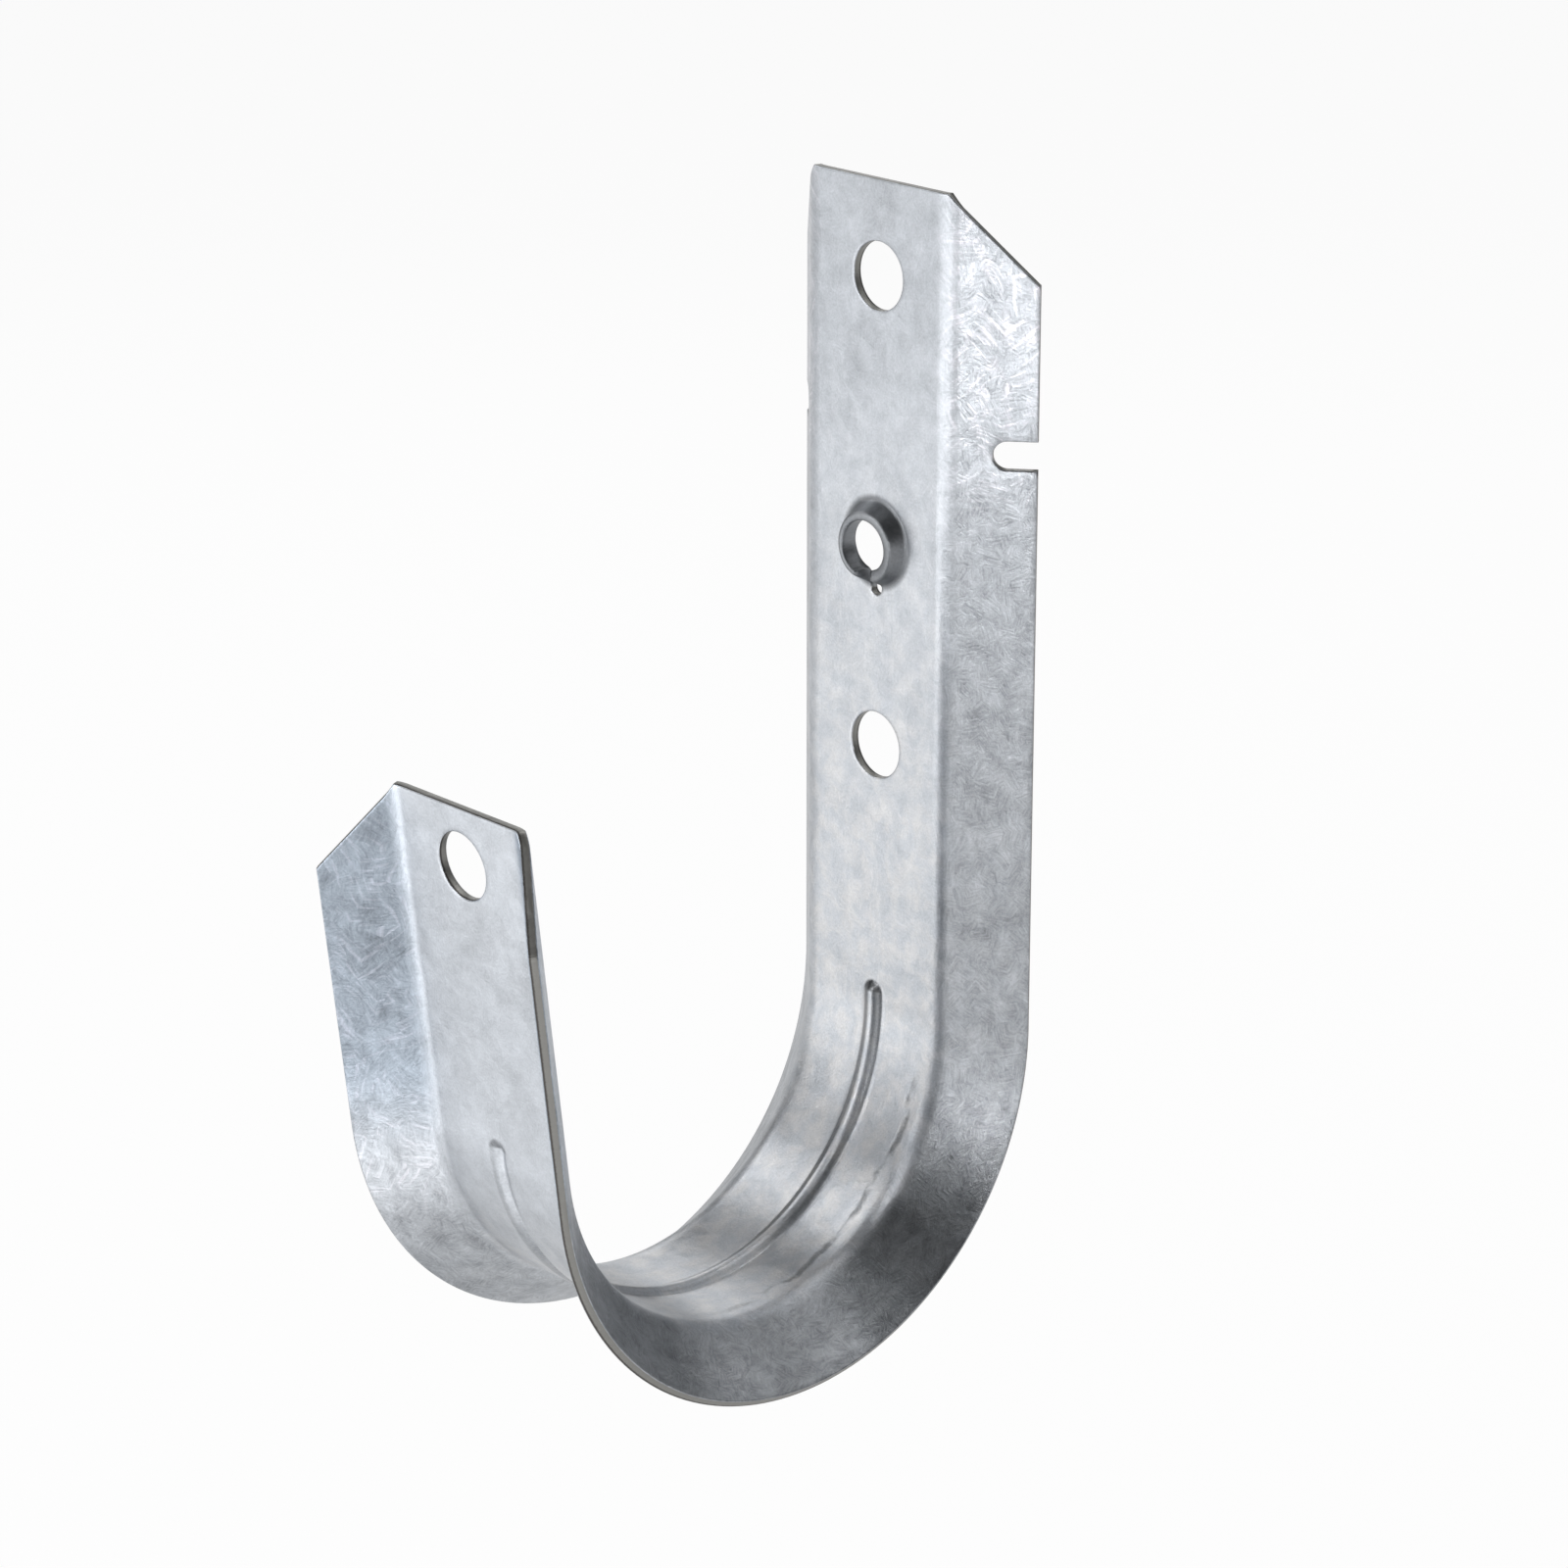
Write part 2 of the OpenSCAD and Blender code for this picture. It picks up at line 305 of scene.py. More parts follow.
boss_ring = open_block(BOSS, BOSS_BLOCK)
columns = len(boss_ring)
boss_ring = next_ring(boss_ring, BOSS, circle(BLOCK_RING, columns))
relief_places = slit_ring(RELIEF_RING, columns)
relief_places[0] = (0, -RELIEF - RELIEF_R)
boss_ring = next_ring(boss_ring, BOSS, relief_places)
slit_faces = []
for number in range(STEPS + 1):
    boss_r = FOOT_OUT + (PILOT - FOOT_OUT) * number / STEPS
    boss_ring = next_ring(boss_ring, BOSS, slit_ring(boss_r, columns))
    slit_faces += [face for face in boss_ring[0].link_faces if face not in slit_faces]
bmesh.ops.delete(strip, geom=slit_faces, context="FACES")
print("the boss has", columns, "columns and", STEPS, "steps")

# %% [markdown]
# ## Notches
# Each flange of the back leg has a notch with a round inner end. It is another block of faces
# taken out. The vertices on its square inner end then move out to a half circle: each keeps its
# direction from the circle's centre and takes the circle's radius.

# %% Notches
NOTCH_R = NOTCH_W / 2
SPARE = 1e-6

for side in (-1, 1):
    notch_centre = Vector((side * (NOTCH_END + NOTCH_R), 0, NOTCH))
    notch_faces = []
    for face in strip.faces:
        offset = face.calc_center_median() - notch_centre
        if offset.x * side > -NOTCH_R and abs(offset.z) < NOTCH_R:
            notch_faces.append(face)
    bmesh.ops.delete(strip, geom=notch_faces, context="FACES")
    moved = 0
    for vert in strip.verts:
        offset = vert.co - notch_centre
        in_width = abs(offset.z) < NOTCH_R + SPARE
        if vert.is_boundary and in_width and -NOTCH_R - SPARE < offset.x * side < 0:
            vert.co = notch_centre + offset.normalized() * NOTCH_R
            moved += 1
    print("a notch with", moved, "vertices on its round end")

# %% [markdown]
# ## Cut corners
# Each of the four upper corners is cut at a slope, which takes the sharp ends off the flanges. One
# plane does it: it stands through the point where the cut starts, and all that is outside is
# cleared.

# %% Corners
CUT_DIST = 1e-7

for side in (-1, 1):
    for end, outwards in ((BACK_LEG, 1), (TIP, -1)):
        everything = strip.verts[:] + strip.edges[:] + strip.faces[:]
        bmesh.ops.bisect_plane(strip, geom=everything, dist=CUT_DIST, plane_co=(side * CORNER, 0, end),
                               plane_no=(side * BEVEL_H, 0, outwards * BEVEL_W), clear_outer=True)
print(len(strip.faces), "faces after cutting")

# %% [markdown]
# ## Thickness
# The pierced sheet is extruded as one region, which also makes the walls of every hole. A sheared
# edge is never perfectly sharp: the punch drags the surface down a little before it breaks
# through. So each edge between a face of the sheet and a wall gets a small round. Those edges are
# easy to find while the sheet is flat: one of their two faces looks along Y and the other doesn't.

# %% Walls and rounded edges
EDGE_R = 0.15 * MM

thickened = bmesh.ops.extrude_face_region(strip, geom=strip.faces[:], use_keep_orig=True)["geom"]
raised = [item for item in thickened if isinstance(item, bmesh.types.BMVert)]
bmesh.ops.translate(strip, verts=raised, vec=(0, SHEET, 0))
bmesh.ops.recalc_face_normals(strip, faces=strip.faces[:])
strip.normal_update()
rims = []
for rim_edge in strip.edges:
    flat = sum(abs(face.normal.y) > 0.5 for face in rim_edge.link_faces)
    if len(rim_edge.link_faces) == 2 and flat == 1:
        rims.append(rim_edge)
bmesh.ops.bevel(strip, geom=rims, offset=EDGE_R, offset_type="OFFSET", segments=2, profile=0.5,
                affect="EDGES", material=-1, clamp_overlap=False)
print(len(rims), "rim edges rounded;", len(strip.faces), "faces")

# %% [markdown]
# ## Marks for the finish
# The sheet's finish has to follow the metal round its bends, and the bare sheared edges need a
# finish of their own. Both are easy to say now, while the strip is flat. Each vertex keeps its flat
# place in millimetres as an attribute, a number that says whether it belongs to the boss, which the
# tap leaves bare and which also gets painted shade, and a number that says how far into an edge it
# lies. The boss's walls are drawn metal and not a plain shear, so they count as less bare.

# %% Marks for the finish
DRAWN_R = FOOT_OUT - 0.2 * MM
DRAWN_COVER = 0.7

place_mark = strip.verts.layers.float_vector.new("blank")
bare_mark = strip.verts.layers.float.new("sheared")
boss_mark = strip.verts.layers.float.new("worked")
for vert in strip.verts:
    vert[place_mark] = vert.co / MM
    vert[boss_mark] = float(math.hypot(vert.co.x, vert.co.z - BOSS) < DRAWN_R)
    depth = min(vert.co.y, SHEET - vert.co.y)
    vert[bare_mark] = min(1.0, depth / EDGE_R) * (1 - DRAWN_COVER * vert[boss_mark])
print("bare edge on", sum(vert[bare_mark] > 0.5 for vert in strip.verts), "vertices")

# %% [markdown]
# ## Drawing the boss
# The punch turns the flat rings into a short cone with a bore. Each ring has one place on the
# outside of the cone and one on its inside, so two profiles say it all. A vertex within the sheet
# goes in between them. The rim climbs one pitch of thread as it goes round, right handed, and the
# slit is where its low and high ends pass each other.

# %% Sizes of the boss
BORE_R = radius_of("threaded_boss")
RIM_R = 3.55 * MM
MOUTH_R = 4.35 * MM
RIM_H = 2.0 * MM
PITCH = 1.27 * MM
LAND_FOOT = 0.465 * MM
MOUTH_OUT = 5.0 * MM
BLEND = 0.5 * MM
SPREAD = math.atan2(FOOT_R - RIM_R, RIM_H)
FLARE = math.atan2(MOUTH_R - BORE_R, LAND_FOOT + SHEET)
print(f"the cone slopes {math.degrees(SPREAD):.1f} degrees and the mouth {math.degrees(FLARE):.1f}")

# %% [markdown]
# A profile is a list of points, each with a radius and a height over the web. The outside runs from
# the flat web round a blend and up the cone. The inside runs from the flat back of the web through
# the flared mouth, which blends in the same way, and up the bore. Both end at the rim, whose height
# is given, because it changes on the way round.

# %% Profiles of the boss


def blend_arc(foot, level, slope, count):
    """The round between the flat sheet at some level and a side that leans by a slope."""
    centre = foot + BLEND * math.tan(math.pi / 4 - slope / 2)
    turns = [(math.pi / 2 - slope) * i / count for i in range(count + 1)]
    return [(centre - BLEND * math.sin(turn), level + BLEND - BLEND * math.cos(turn)) for turn in turns]


def outside(rim):
    """From the flat web up over the blend to the rim, as radius and height."""
    arc = blend_arc(FOOT_R, 0, SPREAD, 5)
    top = arc[-1][1]
    heights = [top + (rim - top) * i / 5 for i in range(1, 6)]
    cone = [(FOOT_R - math.tan(SPREAD) * height, height) for height in heights]
    return [(FOOT_OUT, 0)] + arc + cone


def inside(rim):
    """From the flat back of the web through the flared mouth and up the bore to the rim."""
    arc = blend_arc(MOUTH_R, -SHEET, FLARE, 3)
    radius, height = arc[-1]
    cone = [(radius + (BORE_R - radius) * i / 3, height + (LAND_FOOT - height) * i / 3) for i in range(1, 4)]
    bore = [(BORE_R, LAND_FOOT + (rim - LAND_FOOT) * i / 3) for i in range(1, 4)]
    return [(FOOT_OUT, -SHEET), (MOUTH_OUT, -SHEET)] + arc + cone + bore


print(len(outside(RIM_H)), "points outside and", len(inside(RIM_H)), "inside")

# %% [markdown]
# The press takes each point of the flat strip to a point of the boss. Its distance from the centre
# says how far along the profiles it goes, its depth in the sheet says how far from the outside
# to the inside, and its direction gives the rim's height there. The slit keeps its width, so the
# directions are spread anew between its two edges at each radius.

# %% Where the press takes a point


def along_profile(points, share):
    """The point at some share of a profile, counted in its own steps."""
    place = min(max(share, 0), 1) * (len(points) - 1)
    step = min(int(place), len(points) - 2)
    return Vector(points[step]).lerp(Vector(points[step + 1]), place - step)


def draw_boss(co):
    """Where the punch and the tap take a point of the flat strip."""
    x, z = co.x, co.z - BOSS
    radius = math.hypot(x, z)
    if radius >= FOOT_OUT:
        return co
    edge = slit_turn(radius)
    turn = math.atan2(x, -z) % TURN
    share = (turn - edge) / (TURN - 2 * edge)
    rim = RIM_H + PITCH * (min(max(share, 0), 1) - 0.5)
    step = (FOOT_OUT - radius) / (FOOT_OUT - PILOT)
    front_point, back_point = along_profile(outside(rim), step), along_profile(inside(rim), step)
    new_radius, height = front_point.lerp(back_point, co.y / SHEET)
    edge = slit_turn(new_radius)
    turn = edge + share * (TURN - 2 * edge)
    return Vector((new_radius * math.sin(turn), -height, BOSS - new_radius * math.cos(turn)))


top_point = draw_boss(Vector((0, 0, BOSS + PILOT)))
print(f"the rim stands {-top_point.y / MM:.2f} mm over the web, straight above the bore")


# %% [markdown]
# ## Pressing the rib
# The rib runs along the middle of the loop, and the press raises it towards the cables. So the
# punch comes from the outer face, and heights count from there. The section is the same at
# every distance from the rib's own line, and measuring that distance from the line's end point
# closes the ends in half circles. The sheet keeps its thickness, so the root of one face has the
# larger radius and the crown of the other.

# %% Pressing the rib


def rib_height(distance, height):
    """Where the press takes a skin of the sheet that lies at some height over the outer face."""
    root = RIB_R + SHEET / 2 - height
    crown = RIB_R - SHEET / 2 + height
    crown_centre = RIB_HEIGHT - RIB_R + SHEET / 2
    if distance >= RIB_HALF:
        return height
    if distance > RIB_HALF - root * math.sin(RIB_SLOPE):
        return RIB_R + SHEET / 2 - math.sqrt(root ** 2 - (RIB_HALF - distance) ** 2)
    if distance < crown * math.sin(RIB_SLOPE):
        return crown_centre + math.sqrt(crown ** 2 - distance ** 2)
    side_top = crown_centre + crown * math.cos(RIB_SLOPE)
    return side_top - (distance - crown * math.sin(RIB_SLOPE)) * math.tan(RIB_SLOPE)


def press_rib(co):
    """Raises a point of the flat strip where the rib's punch reaches it."""
    past = max(co.z - RIB_START, -LOOP - co.z, 0)
    distance = math.hypot(co.x, past)
    if distance >= RIB_HALF:
        return co
    outer, inner = rib_height(distance, 0), rib_height(distance, SHEET)
    return Vector((co.x, SHEET - outer - (inner - outer) * (SHEET - co.y) / SHEET, co.z))


print(f"the rib's crown stands {-press_rib(Vector((0, 0, 0))).y / MM:.2f} mm over the web")


# %% [markdown]
# ## Folding and rolling
# The flanges fold back round a small radius, and then the whole channel rolls round into a J. A
# point in a bend keeps its distance along the face that looks at the cables, and its depth in the
# sheet becomes a distance from the bend's centre. Past the bend it goes straight on, in the bend's
# last direction.

# %% The two bends


def fold_flange(co):
    """Folds the part of the strip beyond the web back, away from the cables."""
    past = abs(co.x) - WEB_HALF
    if past <= 0:
        return co
    turn = min(past, FOLD) / FOLD_R
    run = max(past - FOLD, 0)
    x = WEB_HALF + (FOLD_R - co.y) * math.sin(turn) + run * math.cos(turn)
    y = FOLD_R - (FOLD_R - co.y) * math.cos(turn) + run * math.sin(turn)
    return Vector((math.copysign(x, co.x), y, co.z))


def roll_loop(co):
    """Rolls the strip below the back leg into the loop, with the front leg straight after it."""
    turn = min(max(-co.z, 0), LOOP) / LOOP_R
    run = co.z if co.z > 0 else max(-co.z - LOOP, 0)
    radius = LOOP_R + co.y
    lead = 1 if co.z > 0 else -1
    y = -LOOP_R + radius * math.cos(turn) - run * math.sin(turn)
    z = -radius * math.sin(turn) + lead * run * math.cos(turn)
    return Vector((co.x, y, z - UPPER))


tip_point = roll_loop(Vector((0, 0, TIP)))
print(f"the tip comes {-tip_point.y / MM:.1f} mm in front of the back leg")

# %% [markdown]
# Now every vertex goes through the four tools, in the order in which a factory would use them: the
# boss and the rib are formed in flat metal, and the flanges are folded before the loop is rolled.

# %% Forming the hook
for vert in strip.verts:
    vert.co = roll_loop(fold_flange(press_rib(draw_boss(vert.co))))
bmesh.ops.recalc_face_normals(strip, faces=strip.faces[:])
triangles = sum(len(face.verts) - 2 for face in strip.faces)
print(f"{triangles} triangles, volume {strip.calc_volume() / MM ** 3:.1f} mm3")

# %% [markdown]
# ## The hook as an object
# The bmesh becomes a mesh on an object at the origin. The faces are shaded smooth, and a Weighted
# Normal modifier lets the large flat faces set the shading, so that the narrow rounds don't
# darken the metal beside them. The new piece stands for the plain model and moves with it.

# %% Hook
mesh = bpy.data.meshes.new("folded_hook")
strip.to_mesh(mesh)
strip.free()
hook = bpy.data.objects.new("folded_hook", mesh)
bpy.context.scene.collection.objects.link(hook)
mesh.shade_smooth()
weighted = hook.modifiers.new("weighted_normal", "WEIGHTED_NORMAL")
weighted.mode = "FACE_AREA"
weighted.keep_sharp = False
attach(hook, "root")
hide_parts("hook")
print(hook.name, "has", len(mesh.polygons), "faces")

# %% [markdown]
# ## Shader maths
# A material is a graph of nodes. Written out node by node it is long and hard to read, so this
# small class wraps a node's output and lets Python's own operators add the Math nodes. One method,
# `node`, adds any other node: its settings are made first, and then its inputs get a value or a
# link. The last few methods are patterns that the material uses again and again.

# %% A socket that can be reckoned with


class Field:
    """A value that varies over a surface: the output of a node."""

    def __init__(self, tree, socket=None):
        self.tree = tree
        self.socket = socket

    def node(self, kind, inputs, output=0, **settings):
        node = self.tree.nodes.new("ShaderNode" + kind)
        for name, value in settings.items():
            setattr(node, name, value)
        for name, value in inputs.items():
            if isinstance(value, Field):
                value.feeds(node, name)
            else:
                node.inputs[name].default_value = value
        return Field(self.tree, node.outputs[output])

    def also(self, output):
        """Another output of the same node."""
        return Field(self.tree, self.socket.node.outputs[output])

    def feeds(self, node, name):
        self.tree.links.new(self.socket, node.inputs[name])

    def maths(self, operation, first, second=0.0):
        return self.node("Math", {0: first, 1: second}, operation=operation)

    def __add__(self, other):
        return self.maths("ADD", self, other)

    def __sub__(self, other):
        return self.maths("SUBTRACT", self, other)

    def __rsub__(self, other):
        return self.maths("SUBTRACT", other, self)

    def __mul__(self, other):
        return self.maths("MULTIPLY", self, other)

    def __truediv__(self, other):
        return self.maths("DIVIDE", self, other)

    def __abs__(self):
        return self.maths("ABSOLUTE", self)

    __radd__ = __add__
    __rmul__ = __mul__

    def between(self, low, high):
        """0 at one value and 1 at the other, with a smooth step from one to the next."""
        return self.node("MapRange", {"Value": self, "From Min": low, "From Max": high},
                         interpolation_type="SMOOTHSTEP")

    def noise(self, scale, fineness=2.0, roughness=0.5):
        inputs = {"Vector": self, "Scale": scale, "Detail": fineness, "Roughness": roughness}
        return self.node("TexNoise", inputs)

    def axis(self, name):
        return self.node("SeparateXYZ", {"Vector": self}, output=name)

    def scaled(self, factors):
        return self.node("VectorMath", {0: self, 1: factors}, operation="MULTIPLY")

    def moved(self, other, amount):
        """This vector with some amount of another one added."""
        inputs = {0: other, 1: (amount, amount, amount), 2: self}
        return self.node("VectorMath", inputs, operation="MULTIPLY_ADD")

    def mix(self, first, second):
        """A colour between two others, by this value. Inputs 6 and 7 are the node's colours."""
        return self.node("Mix", {"Factor": self, 6: first, 7: second}, output=2, data_type="RGBA")


helpers = [helper for helper in vars(Field) if not helper.startswith("__")]
print("besides its operators a field has", ", ".join(helpers))


# %% [markdown]
# ## Galvanised steel
# The steel gets one material. Its patterns read the flat place that each vertex kept, in
# millimetres, so they bend and roll with the sheet. Some masks say where on the strip something
# is: `on_flange` is 0 on the web and 1 past the fold, and the others run along the strip, from the
# top of the back leg, at 89, through the loop, from 0 to about -77, to the tip.

# %% Places on the strip
steel = bpy.data.materials.new("galvanised_steel")
steel.use_nodes = True
steel_nodes = steel.node_tree.nodes
finish = Field(steel.node_tree)
flat_place = finish.node("Attribute", {}, output="Vector", attribute_name="blank")
sideways = flat_place.axis("X")
across_strip = abs(sideways)
along_strip = flat_place.axis("Z")

on_flange = across_strip.between(8.0, 12.0)
on_web = 1 - on_flange
# Painted highlight: a band along each fold that the tone brightens.
fold_painted_highlight = across_strip.between(8.5, 9.6) * across_strip.between(11.8, 10.8)
upper = along_strip.between(52.0, 66.0)
front = along_strip.between(-60.0, -80.0)
tip = along_strip.between(-80.0, -88.0)
rolled = along_strip.between(0.0, -8.0) * along_strip.between(-84.0, -70.0)
print(len(steel_nodes), "nodes so far")

# %% [markdown]
# ### Crystals
# Molten zinc freezes on the sheet in crystals a few millimetres across. Each one grew as a
# feather: a spine, with fine needles that leave it at a slope on both sides. A flat grey can't
# show that, and a plain noise has no direction. So a Voronoi texture makes the crystals, its
# random colour turns each one's own axes, and the distance from the spine is folded with an
# absolute value. A noise that is stretched along the sloped needles then draws them.

# %% Crystals
HALF_GREY = (0.5, 0.5, 0.5)
LARGE = 0.17
SMALL = 0.45
CELL_WARP = 1.1
SPINE_BEND = 2.0
NEEDLE_SLOPE = 0.8
CELLS_APART = 50


def drift_of(scale, fineness):
    """A slow random vector that bends the edges of a pattern."""
    inputs = {"Vector": flat_place, "Scale": scale, "Detail": fineness}
    cloud = finish.node("TexNoise", inputs, output="Color")
    return cloud.node("VectorMath", {0: cloud, 1: HALF_GREY}, operation="SUBTRACT")


def feathers(scale, needle_rate, needle_length):
    """Feathered crystals: the needles, the side of the spine, and a random tone for each crystal."""
    warped = flat_place.moved(drift_of(scale * 1.2, 1.0), CELL_WARP / scale)
    random = warped.node("TexVoronoi", {"Vector": warped, "Scale": scale}, output="Color")
    curved = flat_place.moved(drift_of(0.22, 0.0), SPINE_BEND)
    local = curved.node("VectorMath", {0: curved, 1: random.also("Position")}, operation="SUBTRACT")
    angle = random.axis("X") * TURN
    turned = local.node("VectorRotate", {"Vector": local, "Angle": angle}, rotation_type="Y_AXIS")
    aside = abs(turned.axis("Z"))
    across_needle = (turned.axis("X") + aside * NEEDLE_SLOPE) * needle_rate
    slanted = turned.node("CombineXYZ", {"X": across_needle, "Y": random.axis("X") * CELLS_APART,
                                         "Z": aside / needle_length})
    which_side = (turned.axis("Z").between(-0.4, 0.4) - 0.5) * random.axis("Z")
    return slanted.noise(1.0, 1.5, 0.5), which_side, random.axis("Y") - 0.5


print(f"the crystals are about {1 / LARGE:.0f} mm across, and the frost's {1 / SMALL:.0f} mm")


# %% [markdown]
# Two sizes of crystals lie over each other. The large ones, about 6 mm across, give bright strokes
# and faint dark scratches, which are the high and the low ends of the same needle noise. The
# small ones are a frost that covers everything.

# %% Strokes, scratches and frost
needles, needle_side, crystal_tone = feathers(LARGE, 1.9, 3.0)
small_needles, small_side, small_tone = feathers(SMALL, 3.6, 1.2)
strokes = needles.between(0.48, 0.76)
scratches = needles.between(0.40, 0.28)
frost = small_needles - 0.5
print(len(steel_nodes), "nodes with the crystals")

# %% [markdown]
# ### Clouds, grain and rub marks
# On top of the crystals lie broad clouds where the zinc is duller, a fine grain, and faint rub
# marks along the strip from the rollers. The rollers have also polished the web, which is the
# flat middle, while the flanges keep their crystals, and show them best near the leg's top and
# on the front leg. `ferny` is the mask for that.

# %% Clouds, grain and rub marks
clouds = flat_place.noise(0.13, 4.0, 0.55) - 0.5
patches = flat_place.moved(drift_of(0.35, 3.0), 2.5).noise(0.4, 4.0, 0.6) - 0.5
grain = flat_place.noise(4.0, 3.0, 0.65) - 0.5
rubs = flat_place.scaled((2.2, 1.0, 0.08)).noise(1.0, 3.0, 0.55).between(0.55, 0.8)
bent_place = flat_place.moved(drift_of(0.5, 2.0), 2.0)
flange_clouds = bent_place.scaled((0.7, 1.0, 0.35)).noise(1.0, 2.0, 0.5) - 0.5
ferny = on_flange * (upper + front * 0.7) + 0.1
# Where the flanges get the most painted shade in the tone: from the middle of the back leg on.
flange_shade_share = on_flange * (1 - upper) * (1 - front * 0.6)
print(len(steel_nodes), "nodes with the clouds")

# %% [markdown]
# ### Crease
# The die that rolls the loop has to slide on the metal, and the web wrinkles a little beside the
# fold, because the folded flange can't stretch. That leaves a wandering crease in the loop: a bump,
# with painted shade along it. Its mask is the distance to a wavy line along the flat strip, and a
# second noise breaks it up. A wider mask round the same line is a little brighter, a painted
# highlight beside the crease.

# %% Crease
CREASE_LINE = 5.9
CREASE_WAVE = 3.2

wander = flat_place.scaled((0.0, 0.0, 0.13)).noise(1.0, 3.0, 0.6)
from_crease = abs(sideways - CREASE_LINE - wander * CREASE_WAVE)
in_loop = along_strip.between(-3.0, -9.0) * along_strip.between(-48.0, -34.0)
gaps = flat_place.scaled((0.3, 1.0, 0.25)).noise(1.0, 3.0).between(0.36, 0.52)
# Painted shade along the crease line, and on the next line a painted highlight beside it.
crease = from_crease.between(0.65, 0.1) * in_loop * gaps
crease_side_highlight = from_crease.between(2.0, 0.4) * in_loop
print(len(steel_nodes), "nodes with the crease")

# %% [markdown]
# ### The rib's sides
# The rib's sides get painted shade, which leaves them darker than its crown. The mask is the
# distance from the rib's line, the same one that gave it its form, so it closes round the ends. The
# ends get the most painted shade, the left side more than the right one, and both more at the start
# of the loop than past its bottom.

# %% Sides of the rib
above = along_strip - RIB_START / MM
below = -LOOP / MM - along_strip
past_end = above.maths("MAXIMUM", above.maths("MAXIMUM", above, below), 0.0)
squares = across_strip * across_strip + past_end * past_end
from_rib = squares.maths("POWER", squares, 0.5)
on_side = from_rib.between(0.12, 0.42) * from_rib.between(1.65, 1.2)
on_left = sideways.between(0.2, -0.4)
on_end = past_end.between(0.0, 0.5)
# Painted shade: the rib's sides and ends are darkened in colour, most at the ends and on the left.
rib_side_painted_shade = on_side * (along_strip.between(-45.0, -8.0) * 0.22 + on_left * 0.2 + on_end * 0.3 + 0.05)
print(len(steel_nodes), "nodes with the rib")

# %% [markdown]
# ### Tone
# The tone is one number, near 1, that lightens or darkens the zinc. Each pattern adds its share,
# and a factor says how much. The first lines are the patterns of the metal. The next holds painted
# light on the forms: painted shade in the crease and on the rib's sides, and painted highlights
# beside the crease and on the folds. The others are painted shade and highlight by place: the
# flanges are darker than the web, most from the middle of the back leg through the loop, and the
# web is darker towards the top and brighter where the front leg leaves the loop.

# %% Tone
feather_tone = (strokes * 0.24 - scratches * 0.07 + needle_side * 0.12) * ferny
feather_tone = feather_tone + frost * (on_flange * 0.32 + 0.2)
texture_tone = (clouds * 0.32 + patches * 0.5 + grain * 0.5 + flange_clouds * on_flange * 0.5
                + crystal_tone * 0.06 + small_tone * 0.05 + rubs * 0.05)
# Painted light on forms: shade in the crease and on the rib's sides, highlights by the crease and folds.
painted_light_on_forms = crease_side_highlight * 0.07 - crease * 0.5 - rib_side_painted_shade + fold_painted_highlight * (0.06 + front * 0.1)
# Painted shade: the flanges are darkened in colour, most from the middle of the back leg through the loop.
flange_painted_shade = upper * on_flange * 0.09 + flange_shade_share * 0.24 + tip * on_flange * 0.14
# Painted shade and highlight on the web: darker towards the top, brighter where the front leg leaves the
# loop.
leaving_loop = along_strip.between(-98.0, -80.0) * along_strip.between(-62.0, -72.0)
web_painted_light = on_web * (along_strip.between(50.0, 89.0) * 0.12 + 0.03 - leaving_loop * 0.13)
tone = 1.0 + texture_tone + feather_tone + painted_light_on_forms - flange_painted_shade - web_painted_light
print(len(steel_nodes), "nodes with the tone")

# %% [markdown]
# ### Colour
# Zinc is a bluish grey. It is warmer in patches on the lower back leg and in the loop, paler on
# the crystals' bright strokes, and cooler on the front leg's flanges. The boss was drawn and
# tapped, which took much of its zinc off, and it also gets painted shade, so it is half as bright. A
# metal's colour says what it does to the light that it mirrors.

# %% Colour of the zinc
ZINC = (0.47, 0.493, 0.525, 1)
WARM_ZINC = (0.505, 0.506, 0.51, 1)
PALE_ZINC = (0.57, 0.545, 0.585, 1)
NO_TINT = (1, 1, 1, 1)
COOL_TINT = (0.86, 0.93, 1.0, 1)
BOSS_BARE_AND_SHADE = 0.5

warm_part = along_strip.between(75.0, 10.0) * along_strip.between(-75.0, -50.0)
warmth = (patches + 0.5).between(0.35, 0.7) * (1 - on_flange * 0.8) * warm_part
paleness = (strokes * 0.6 + flange_clouds * 1.5 * upper) * ferny
on_boss = finish.node("Attribute", {}, output="Fac", attribute_name="worked")
zinc = paleness.mix(warmth.mix(ZINC, WARM_ZINC), PALE_ZINC)
tint = (on_flange * along_strip.between(-72.0, -84.0)).mix(NO_TINT, COOL_TINT)
zinc = zinc.node("VectorMath", {0: zinc, 1: tint}, operation="MULTIPLY")
# Part bare drawn metal, part painted shade: the boss is made half as bright.
brightness = tone * (1 - on_boss * BOSS_BARE_AND_SHADE)
zinc = zinc.node("VectorMath", {0: zinc, "Scale": brightness}, operation="SCALE")
print(len(steel_nodes), "nodes with the zinc")

# %% [markdown]
# A sheared edge has no zinc. The blade cuts smoothly through most of the thickness and leaves it
# bright, and then the last part tears off, dark and rough. The depth in the sheet is the flat
# place's Y, so it says which part is which, and the grain frays the line between them.

# %% Sheared edges
CUT_STEEL = (0.25, 0.247, 0.235, 1)
TORN_STEEL = (0.085, 0.08, 0.075, 1)

in_edge = finish.node("Attribute", {}, output="Fac", attribute_name="sheared")
on_edge = in_edge.between(0.25, 0.85)
torn = (flat_place.axis("Y") + grain * 0.15).between(0.62, 0.8)
colour = on_edge.mix(zinc, torn.mix(CUT_STEEL, TORN_STEEL))
print(len(steel_nodes), "nodes with the edges")

